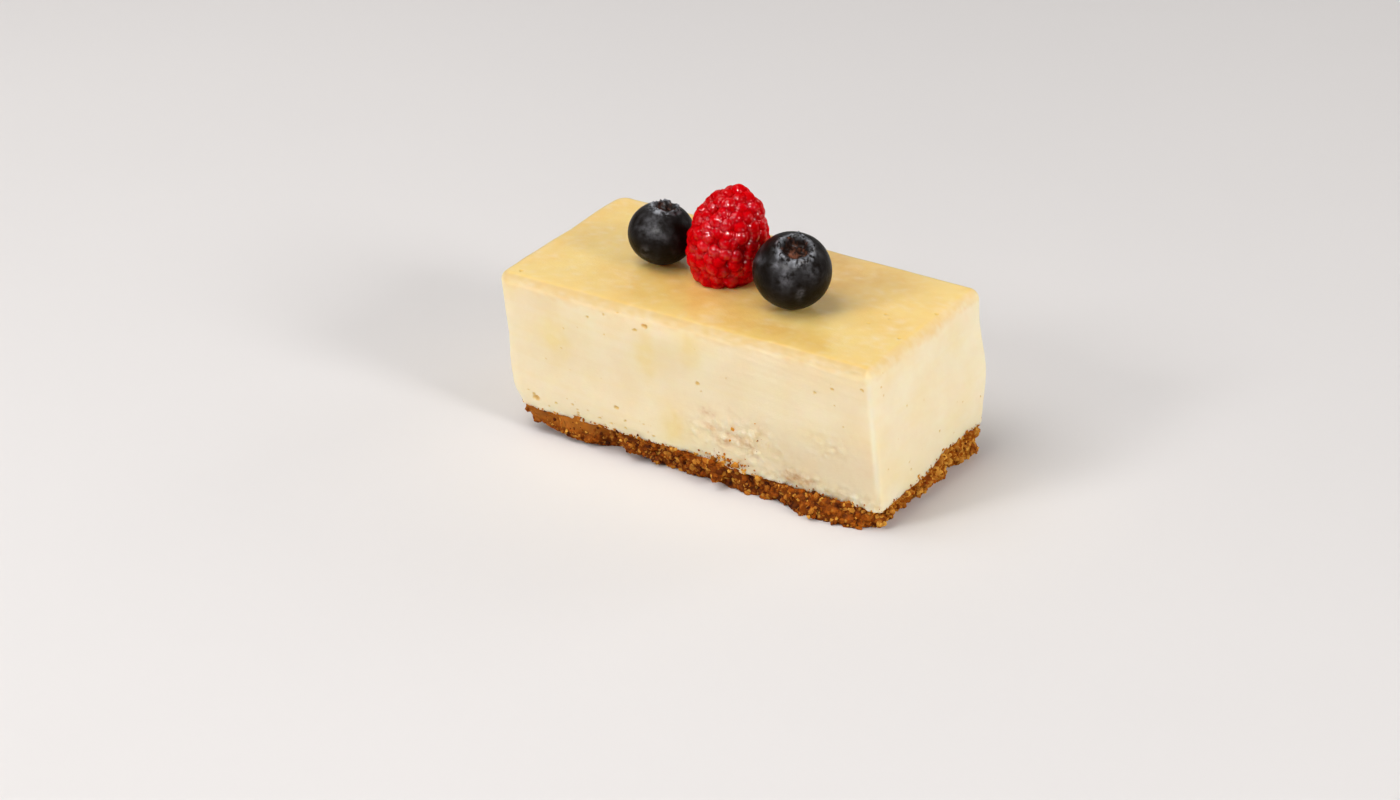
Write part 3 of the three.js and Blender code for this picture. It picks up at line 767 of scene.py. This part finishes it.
def make_raspberry(material):
    middles, radii = raspberry_drupelets()
    middles = lean_drupelets(middles)
    heart = lean_of(RASPBERRY_LEAN, RASPBERRY_LEAN_TOWARDS) @ (0, 0, RASPBERRY_HEIGHT * HEART_LEVEL)
    bm = bmesh.new()
    bmesh.ops.create_icosphere(bm, subdivisions=7, radius=1)
    mesh = mesh_from(bm, "standing_raspberry")
    directions = outward(mesh)
    directions /= np.linalg.norm(directions, axis=1)[:, None]
    first, second, owner = drupelet_reach(directions, middles - heart, radii)
    apart = np.clip((first - second) / CLEFT_WIDTH, 0, 1)
    reach = np.maximum(first, RASPBERRY_FOOT_RADIUS) + CLEFT_FILL * (1 - apart) ** 2
    down = directions[:, 2] < 0
    reach[down] = np.minimum(reach[down], -(heart[2] + RASPBERRY_SUNK) / directions[down, 2])
    points = RASPBERRY_FOOT + heart + directions * reach[:, None]
    puckers = 0.02 * relief(points, 0.8) + 0.08 * relief(points, 2.2)
    place_points(mesh, points + directions * puckers[:, None])
    tones = np.random.default_rng(TONE_SEED).random(len(radii))
    # the clefts between drupelets, which the finish darkens as painted shade
    paint(mesh, "cleft", 1 - smoothstep(first - second, 0, 0.6))
    paint(mesh, "tone", tones[owner])
    mesh.shade_smooth()
    return add_piece("standing_raspberry", mesh, material, "raspberry_flesh", "raspberry")


# The blueberries

def berry_profile(radius, squash, crown, rim_height):
    """Half the outline of a blueberry, from its pole below to the middle of its crown."""
    crown_angle = math.asin(crown / radius)
    collar = radius * math.cos(crown_angle) * squash
    angles = np.linspace(math.pi, crown_angle, 26)
    outline = [(radius * math.sin(a), radius * math.cos(a) * squash) for a in angles]
    outline[0] = (0, outline[0][1])
    outline += [(crown * share, collar + rise * rim_height) for share, rise in CROWN_RIM]
    outline += [(crown * share, collar + rise) for share, rise in CROWN_HOLLOW]
    return outline, collar


def spun(outline, steps):
    bm = bmesh.new()
    vertices = [bm.verts.new((radius, 0, height)) for radius, height in outline]
    edges = [bm.edges.new(pair) for pair in zip(vertices, vertices[1:])]
    bmesh.ops.spin(
        bm, geom=vertices + edges, cent=(0, 0, 0), axis=(0, 0, 1), dvec=(0, 0, 0),
        angle=2 * math.pi, steps=steps, use_merge=True,
    )
    bmesh.ops.remove_doubles(bm, verts=bm.verts, dist=1e-4)
    bmesh.ops.recalc_face_normals(bm, faces=bm.faces)
    return bm


def five_lobes(points):
    """A wave round the axis, from 1 at the middle of each of five lobes to -1 between them."""
    return 1 - 4 / math.pi * np.arccos(abs(np.cos(2.5 * np.arctan2(points[:, 1], points[:, 0]))))


def crown_lobes(points, crown, collar, lobe_rise):
    """Bends the crown's rim into five ragged lobes round an uneven hollow."""
    x, y, z = points.T
    rim = bell(np.hypot(x, y) - crown * 0.85, crown * 0.14) * (z > collar - 0.3)
    lobe = five_lobes(points)
    ragged = relief(points, 0.7)
    inside = (1 - smoothstep(np.hypot(x, y), crown * 0.55, crown * 0.8)) * (z > collar - 2)
    spread = 1 + rim * (0.12 * lobe + 0.14 * ragged) - 0.22 * inside * lobe
    rise = rim * (lobe_rise * lobe + 0.45 * ragged)
    rise += 0.3 * relief(points, 0.5) * (np.hypot(x, y) < crown * 0.66) * (z > collar - 2)
    return np.stack([x * spread, y * spread, z + rise], 1)


def bloom_and_highlight_share(points, smudges_and_highlights):
    """Hazy bloom smudges, with a painted highlight among them on the right berry, each given by how far
    right and up of the berry's middle it shows, and its reach.
    """
    middle = (points.min(axis=0) + points.max(axis=0)) / 2
    outwards = points - middle
    outwards /= np.linalg.norm(outwards, axis=1)[:, None]
    share = 0.15 * np.maximum(0, relief(points, 3))
    for right, up, reach, weight in smudges_and_highlights:
        off = np.hypot(outwards @ VIEW_RIGHT - right, outwards @ VIEW_UP - up)
        share = share + weight * bell(off, reach) * (outwards @ CAMERA_LOOKS < 0.2)
    return np.clip(share * (1 + 0.8 * relief(points, 1.4)), 0, 1)


def paint_crown(mesh, points, crown, collar):
    """Marks the pithy hollow of the crown and the paler patches on its rim."""
    from_axis = np.hypot(points[:, 0], points[:, 1])
    high = smoothstep(points[:, 2], collar - 0.9, collar + 0.3)
    hollow_edge = from_axis / crown + 0.14 * five_lobes(points) + 0.08 * relief(points, 0.8)
    hollow = (1 - smoothstep(hollow_edge, 0.58, 0.72)) * (points[:, 2] > collar - 2)
    rim = high * bell(from_axis - crown * 0.95, crown * 0.17) * (0.7 + 0.8 * relief(points, 1.2))
    paint(mesh, "hollow", hollow)
    paint(mesh, "rim", np.clip(rim, 0, 1))


def slightly_uneven(points, collar, radius):
    """Makes the ball below the crown a little uneven, each size of berry in its own way."""
    shifted = points + radius * 7
    body = points[:, 2] < collar - 0.2
    uneven = 1 + body * (0.012 * relief(shifted, 6) + 0.004 * relief(shifted, 1.8))
    return points * uneven[:, None]


def make_blueberry(
    name, node, material, at, radius, squash, crown, tilt, towards, turn, rim_height, lobe_rise, smudges_and_highlights,
):
    outline, collar = berry_profile(radius, squash, crown, rim_height)
    mesh = mesh_from(spun(outline, 120), name)
    points = crown_lobes(bare_points(mesh), crown, collar, lobe_rise)
    paint_crown(mesh, points, crown, collar)
    turned = slightly_uneven(points, collar, radius) @ turn_of(turn)
    tipped = turned @ lean_of(tilt, towards).T
    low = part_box(node)[0].z / MM - BLUEBERRY_SUNK
    tipped += (at[0], at[1], low - tipped[:, 2].min())
    place_points(mesh, tipped)
    paint(mesh, "bloom_and_highlight", bloom_and_highlight_share(tipped, smudges_and_highlights))
    mesh.shade_smooth()
    return add_piece(name, mesh, material, "blueberry_skin", node)


# Finishes: small helpers for shader nodes

def colour(red, green, blue):
    """A colour as it shows, each part from 0 to 255, as a shader wants it."""
    parts = []
    for value in (red, green, blue):
        value /= 255
        parts.append(value / 12.92 if value <= 0.04045 else ((value + 0.055) / 1.055) ** 2.4)
    return (*parts, 1)


def put(tree, socket, value):
    if isinstance(value, bpy.types.NodeSocket):
        tree.links.new(value, socket)
    else:
        socket.default_value = value


def add_node(tree, kind, **inputs):
    """A node whose inputs are given by name, in lower case and with _ for a space."""
    made = tree.nodes.new("ShaderNode" + kind)
    for name, value in inputs.items():
        put(tree, made.inputs[name.replace("_", " ").title().replace("Ior", "IOR")], value)
    return made


def mixed(tree, share, low, high):
    made = tree.nodes.new("ShaderNodeMix")
    made.data_type = "RGBA"
    for index, value in ((0, share), (6, low), (7, high)):
        put(tree, made.inputs[index], value)
    return made.outputs[2]


def sum_of(tree, operation, first, second):
    """A sum of two values by the operation's name, kept from 0 to 1."""
    made = tree.nodes.new("ShaderNodeMath")
    made.operation = operation
    made.use_clamp = True
    put(tree, made.inputs[0], first)
    put(tree, made.inputs[1], second)
    return made.outputs[0]


def product(tree, first, second):
    return sum_of(tree, "MULTIPLY", first, second)


def tinted(tree, surface, share, weight, tint):
    """The surface with so much of a tint where the share is 1."""
    return mixed(tree, product(tree, share, weight), surface, tint)


def from_share(tree, share, to_low, to_high):
    """Turns a share of 0 to 1 into a value from to_low to to_high."""
    return add_node(tree, "MapRange", value=share, to_min=to_low, to_max=to_high).outputs[0]


def painted(tree, name):
    made = tree.nodes.new("ShaderNodeAttribute")
    made.attribute_name = name
    return made.outputs["Fac"]


def new_group(name, inputs, outputs):
    group = bpy.data.node_groups.new(name, "ShaderNodeTree")
    for name_in, default in inputs:
        socket = group.interface.new_socket(name_in, in_out="INPUT", socket_type="NodeSocketFloat")
        socket.default_value = default
    for name_out in outputs:
        group.interface.new_socket(name_out, in_out="OUTPUT", socket_type="NodeSocketFloat")
    given = group.nodes.new("NodeGroupInput").outputs
    return group, given, group.nodes.new("NodeGroupOutput").inputs


def make_mottling():
    """Soft uneven patches, from 0 to 1, Scale of them to a metre, with edges from Low to High."""
    group, given, out = new_group("mottling", (("Scale", 100), ("Low", 0.4), ("High", 0.6)), ("Mask",))
    place = group.nodes.new("ShaderNodeTexCoord").outputs["Object"]
    cloud = add_node(group, "TexNoise", vector=place, scale=given["Scale"], detail=4.0, roughness=0.55)
    edges = {"from_min": given["Low"], "from_max": given["High"]}
    mask = add_node(group, "MapRange", value=cloud.outputs[0], **edges)
    put(group, out["Mask"], mask.outputs[0])
    return group


def make_grain():
    """Fine relief for a Bump node: a soft grain, Scale of its specks to a metre."""
    group, given, out = new_group("grain", (("Scale", 2000),), ("Height",))
    place = group.nodes.new("ShaderNodeTexCoord").outputs["Object"]
    cloud = add_node(group, "TexNoise", vector=place, scale=given["Scale"], detail=3.0, roughness=0.6)
    put(group, out["Height"], cloud.outputs[0])
    return group


def grouped(tree, group, **inputs):
    made = tree.nodes.new("ShaderNodeGroup")
    made.node_tree = group
    for name, value in inputs.items():
        put(tree, made.inputs[name.title()], value)
    return made.outputs[0]


def new_finish(name, **constants):
    material = bpy.data.materials.new(name)
    material.use_nodes = True
    tree = material.node_tree
    shader = tree.nodes["Principled BSDF"]
    for socket, value in constants.items():
        shader.inputs[socket.replace("_", " ").title().replace("Ior", "IOR")].default_value = value
    return material, tree, shader.inputs


def bumped(tree, height, distance, strength=1.0):
    return add_node(tree, "Bump", height=height, distance=distance, strength=strength).outputs[0]


def cream_colour(tree, mottling):
    """The cut sides: pale and mottled, with stains, a painted highlight on the ridges and torn curd,
    tinged curd and smeared crumbs.
    """
    pale = grouped(tree, mottling, scale=110, low=0.38, high=0.64)
    cream = mixed(tree, pale, colour(245, 226, 188), colour(248, 232, 197))
    cream = tinted(tree, cream, painted(tree, "stain"), 0.6, colour(242, 217, 140))
    # painted highlight: the front right edge, the line under the brow and the tops of the torn curd's
    # lumps are lightened, the curd partly by its own paler colour
    cream = tinted(tree, cream, painted(tree, "ridge_and_highlight"), 0.7, colour(252, 242, 216))
    curd = grouped(tree, mottling, scale=520, low=0.5, high=0.72)
    torn_curd = product(tree, painted(tree, "torn"), curd)
    cream = tinted(tree, cream, torn_curd, 0.5, colour(214, 172, 104))
    gritty = grouped(tree, mottling, scale=800, low=0.36, high=0.7)
    grit = from_share(tree, gritty, 0.2, 0.85)
    return tinted(tree, cream, painted(tree, "smear"), grit, colour(198, 136, 70))


def golden_colour(tree, mottling, glaze):
    """The baked top: golden and mottled, with patches of painted shade and reflection round the berries,
    and paler where it turns down, a little darkened there as painted shade.
    """
    deep = grouped(tree, mottling, scale=70, low=0.4, high=0.68)
    golden = mixed(tree, deep, colour(243, 210, 128), colour(238, 198, 110))
    # painted shade and reflection: the top is tinted a deeper gold in patches round the berries
    golden = tinted(tree, golden, painted(tree, "painted_shade_and_reflection"), 0.5, colour(221, 160, 66))
    # where the glaze ends on the shoulder the colour is paler and a little darkened, partly as painted
    # shade on the brightly lit shoulder
    return mixed(tree, glaze, colour(237, 203, 137), golden)


def filling_finish(mottling, grain):
    material, tree, shader = new_finish(
        "baked filling", subsurface_weight=0.6, subsurface_radius=(1.0, 0.75, 0.45),
        subsurface_scale=0.0045, specular_ior_level=0.16, coat_roughness=0.03, coat_ior=1.45,
    )
    glaze = painted(tree, "glaze")
    cream = cream_colour(tree, mottling)
    golden = golden_colour(tree, mottling, glaze)
    surface = mixed(tree, painted(tree, "skin"), cream, golden)
    # painted shade: the shoulder, the front and parts of the top are darkened towards dark brown
    surface = mixed(tree, painted(tree, "painted_shade"), surface, colour(60, 40, 16))
    surface = tinted(tree, surface, painted(tree, "pinhole"), 0.8, colour(222, 182, 78))
    put(tree, shader["Base Color"], surface)
    put(tree, shader["Roughness"], from_share(tree, glaze, 0.52, 0.3))
    put(tree, shader["Coat Weight"], from_share(tree, glaze, 0.03, 0.7))
    torn_grain = product(tree, painted(tree, "torn"), grouped(tree, grain, scale=1300))
    fine_grain = product(tree, grouped(tree, grain, scale=1500), 0.25)
    height = sum_of(tree, "ADD", torn_grain, fine_grain)
    put(tree, shader["Normal"], bumped(tree, height, 0.0005, 0.6))
    return material


def biscuit_finish(mottling, grain):
    material, tree, shader = new_finish(
        "biscuit crumb", subsurface_weight=0.05, subsurface_scale=0.001, specular_ior_level=0.06,
    )
    tone = add_node(tree, "ValToRGB", fac=painted(tree, "tone"))
    stops = tone.color_ramp.elements
    stops[0].position = 0.05
    stops[0].color = colour(74, 27, 0)
    stops[1].position = 0.95
    stops[1].color = colour(242, 176, 70)
    middle = stops.new(0.45)
    middle.color = colour(168, 84, 4)
    patches = grouped(tree, mottling, scale=900, low=0.35, high=0.7)
    surface = tinted(tree, tone.outputs[0], patches, 0.35, colour(98, 42, 2))
    surface = tinted(tree, surface, painted(tree, "cut"), 0.55, colour(190, 116, 38))
    put(tree, shader["Base Color"], surface)
    put(tree, shader["Roughness"], from_share(tree, patches, 0.6, 0.85))
    put(tree, shader["Normal"], bumped(tree, grouped(tree, grain, scale=3500), 0.00025, 0.8))
    return material


def raspberry_finish(mottling, grain):
    material, tree, shader = new_finish(
        "raspberry flesh", subsurface_weight=0.3, subsurface_radius=(1.0, 0.12, 0.1),
        subsurface_scale=0.0015, roughness=0.4, specular_ior_level=0.0, coat_roughness=0.04,
        coat_ior=1.55,
    )
    flesh = mixed(tree, painted(tree, "tone"), colour(188, 0, 4), colour(210, 2, 9))
    cloudy = grouped(tree, mottling, scale=420, low=0.5, high=0.75)
    flesh = tinted(tree, flesh, cloudy, 0.2, colour(222, 18, 44))
    # painted shade: the clefts between the drupelets are darkened
    flesh = tinted(tree, flesh, painted(tree, "cleft"), 0.5, colour(128, 0, 2))
    put(tree, shader["Base Color"], flesh)
    wet = grouped(tree, mottling, scale=400, low=0.43, high=0.53)
    wet = sum_of(tree, "SUBTRACT", wet, painted(tree, "cleft"))
    put(tree, shader["Coat Weight"], from_share(tree, wet, 0.04, 0.7))
    put(tree, shader["Normal"], bumped(tree, grouped(tree, grain, scale=1500), 0.0001, 0.4))
    return material


def blueberry_finish(mottling, grain):
    material, tree, shader = new_finish(
        "blueberry skin", specular_ior_level=0.06, coat_weight=0.02, coat_roughness=0.2,
    )
    broad = grouped(tree, mottling, scale=190, low=0.42, high=0.72)
    fine = grouped(tree, mottling, scale=900, low=0.35, high=0.8)
    patchy = grouped(tree, mottling, scale=620, low=0.36, high=0.7)
    # besides the bloom, the smudges hold a painted highlight on the right berry's left edge
    smudge_and_highlight = product(tree, painted(tree, "bloom_and_highlight"), patchy)
    haze = product(tree, product(tree, broad, fine), 0.1)
    bloom_and_highlight = sum_of(tree, "ADD", smudge_and_highlight, haze)
    skin = tinted(tree, colour(13, 6, 2), bloom_and_highlight, 0.95, colour(114, 113, 118))
    brown = grouped(tree, mottling, scale=700, low=0.48, high=0.7)
    pith = mixed(tree, brown, colour(36, 22, 17), colour(128, 77, 56))
    skin = mixed(tree, painted(tree, "hollow"), skin, pith)
    rim_patches = grouped(tree, mottling, scale=900, low=0.4, high=0.56)
    skin = tinted(tree, skin, painted(tree, "rim"), rim_patches, colour(164, 166, 172))
    put(tree, shader["Base Color"], skin)
    put(tree, shader["Roughness"], from_share(tree, bloom_and_highlight, 0.36, 0.62))
    put(tree, shader["Normal"], bumped(tree, grouped(tree, grain, scale=1800), 0.00015, 0.6))
    return material


def floor_finish(mottling):
    material, tree, shader = new_finish("pale floor", specular_ior_level=0.05)
    cloud = grouped(tree, mottling, scale=3, low=0.3, high=0.7)
    put(tree, shader["Base Color"], mixed(tree, cloud, colour(219, 215, 213), colour(222, 218, 216)))
    put(tree, shader["Roughness"], from_share(tree, cloud, 0.55, 0.6))
    return material


# The studio

def make_floor(material):
    bm = bmesh.new()
    bmesh.ops.create_grid(bm, x_segments=8, y_segments=8, size=6)
    mesh = mesh_from(bm, "floor")
    mesh.materials.append(material)
    floor = bpy.data.objects.new("floor", mesh)
    bpy.context.scene.collection.objects.link(floor)


def add_softbox(name, at, size, power, tint=(1, 1, 1)):
    light = bpy.data.lights.new(name, "AREA")
    light.shape = "RECTANGLE"
    light.size, light.size_y = size
    light.energy = power
    light.color = tint
    lamp = bpy.data.objects.new(name, light)
    lamp.location = at
    lamp.rotation_euler = (Vector((0, 0, 0.02)) - Vector(at)).to_track_quat("-Z", "Y").to_euler()
    bpy.context.scene.collection.objects.link(lamp)
    return lamp


def light_studio():
    world = bpy.data.worlds.new("studio")
    bpy.context.scene.world = world
    world.use_nodes = True
    backdrop = world.node_tree.nodes["Background"].inputs
    backdrop["Color"].default_value = (1, 0.985, 0.975, 1)
    backdrop["Strength"].default_value = 0.13
    add_softbox("overhead", (-0.35, -0.3, 1.0), (0.8, 0.8), 8.0)
    add_softbox("behind", (-0.65, 1.05, 0.66), (1.9, 0.8), 2.1)
    add_softbox("front_left", (-0.5, -0.85, 0.6), (0.25, 0.25), 4.5)
    add_softbox("front_right", (0.95, -0.15, 0.5), (0.3, 0.3), 5.6)
    add_softbox("back_fill", (0.6, 1.0, 0.5), (0.4, 0.4), 2.2)
    glints = add_softbox("glints", (0.15, -0.95, 0.85), (0.44, 0.18), 33)
    glints.visible_diffuse = False  # it only shows as the small lights on what is wet


def add_camera():
    camera = bpy.data.objects.new("camera", bpy.data.cameras.new("camera"))
    camera.data.lens = CAMERA_LENS
    camera.data.sensor_width = 36
    camera.data.clip_start = 0.01
    camera.data.clip_end = 50
    camera.location = CAMERA_AT
    camera.rotation_euler = CAMERA_LOOKS.to_track_quat("-Z", "Y").to_euler()
    bpy.context.scene.collection.objects.link(camera)
    bpy.context.scene.camera = camera


add_camera()
bpy.context.scene.view_settings.view_transform = "Standard"
light_studio()

MOTTLING = make_mottling()
GRAIN = make_grain()
biscuit = biscuit_finish(MOTTLING, GRAIN)
filling = make_filling(filling_finish(MOTTLING, GRAIN))
base = make_base(biscuit)
make_granules(base, biscuit)
make_seam_crumbs(filling, biscuit)
make_raspberry(raspberry_finish(MOTTLING, GRAIN))
blueberry = blueberry_finish(MOTTLING, GRAIN)
make_blueberry(
    "blueberry_on_left", "blueberry_left", blueberry, at=(-20.3, -0.9), radius=7.8, squash=0.92,
    crown=3.3, tilt=8, towards=20, turn=50, rim_height=0.55, lobe_rise=0.25,
    smudges_and_highlights=(
        (-0.35, 0.05, 0.3, 0.55), (0.05, -0.2, 0.2, 0.4),
        (-0.1, 0.75, 0.4, 0.5), (-0.5, -0.6, 0.12, 0.6),
    ),
)
make_blueberry(
    "blueberry_on_right", "blueberry_right", blueberry, at=(16.6, -4.8), radius=8.9, squash=0.95,
    crown=4.2, tilt=26, towards=-50, turn=40, rim_height=0.75, lobe_rise=0.4,
    smudges_and_highlights=(
        (-0.45, 0.06, 0.13, 0.9), (-0.17, -0.27, 0.2, 1.0), (0.45, -0.1, 0.25, 0.45),
        # the smudge at (-0.85, 0.2) is a painted highlight on this berry's left edge
        (0.17, -0.65, 0.09, 1.0), (-0.85, 0.2, 0.12, 0.6), (0.1, 0.05, 0.5, 0.06),
    ),
)
make_floor(floor_finish(MOTTLING))
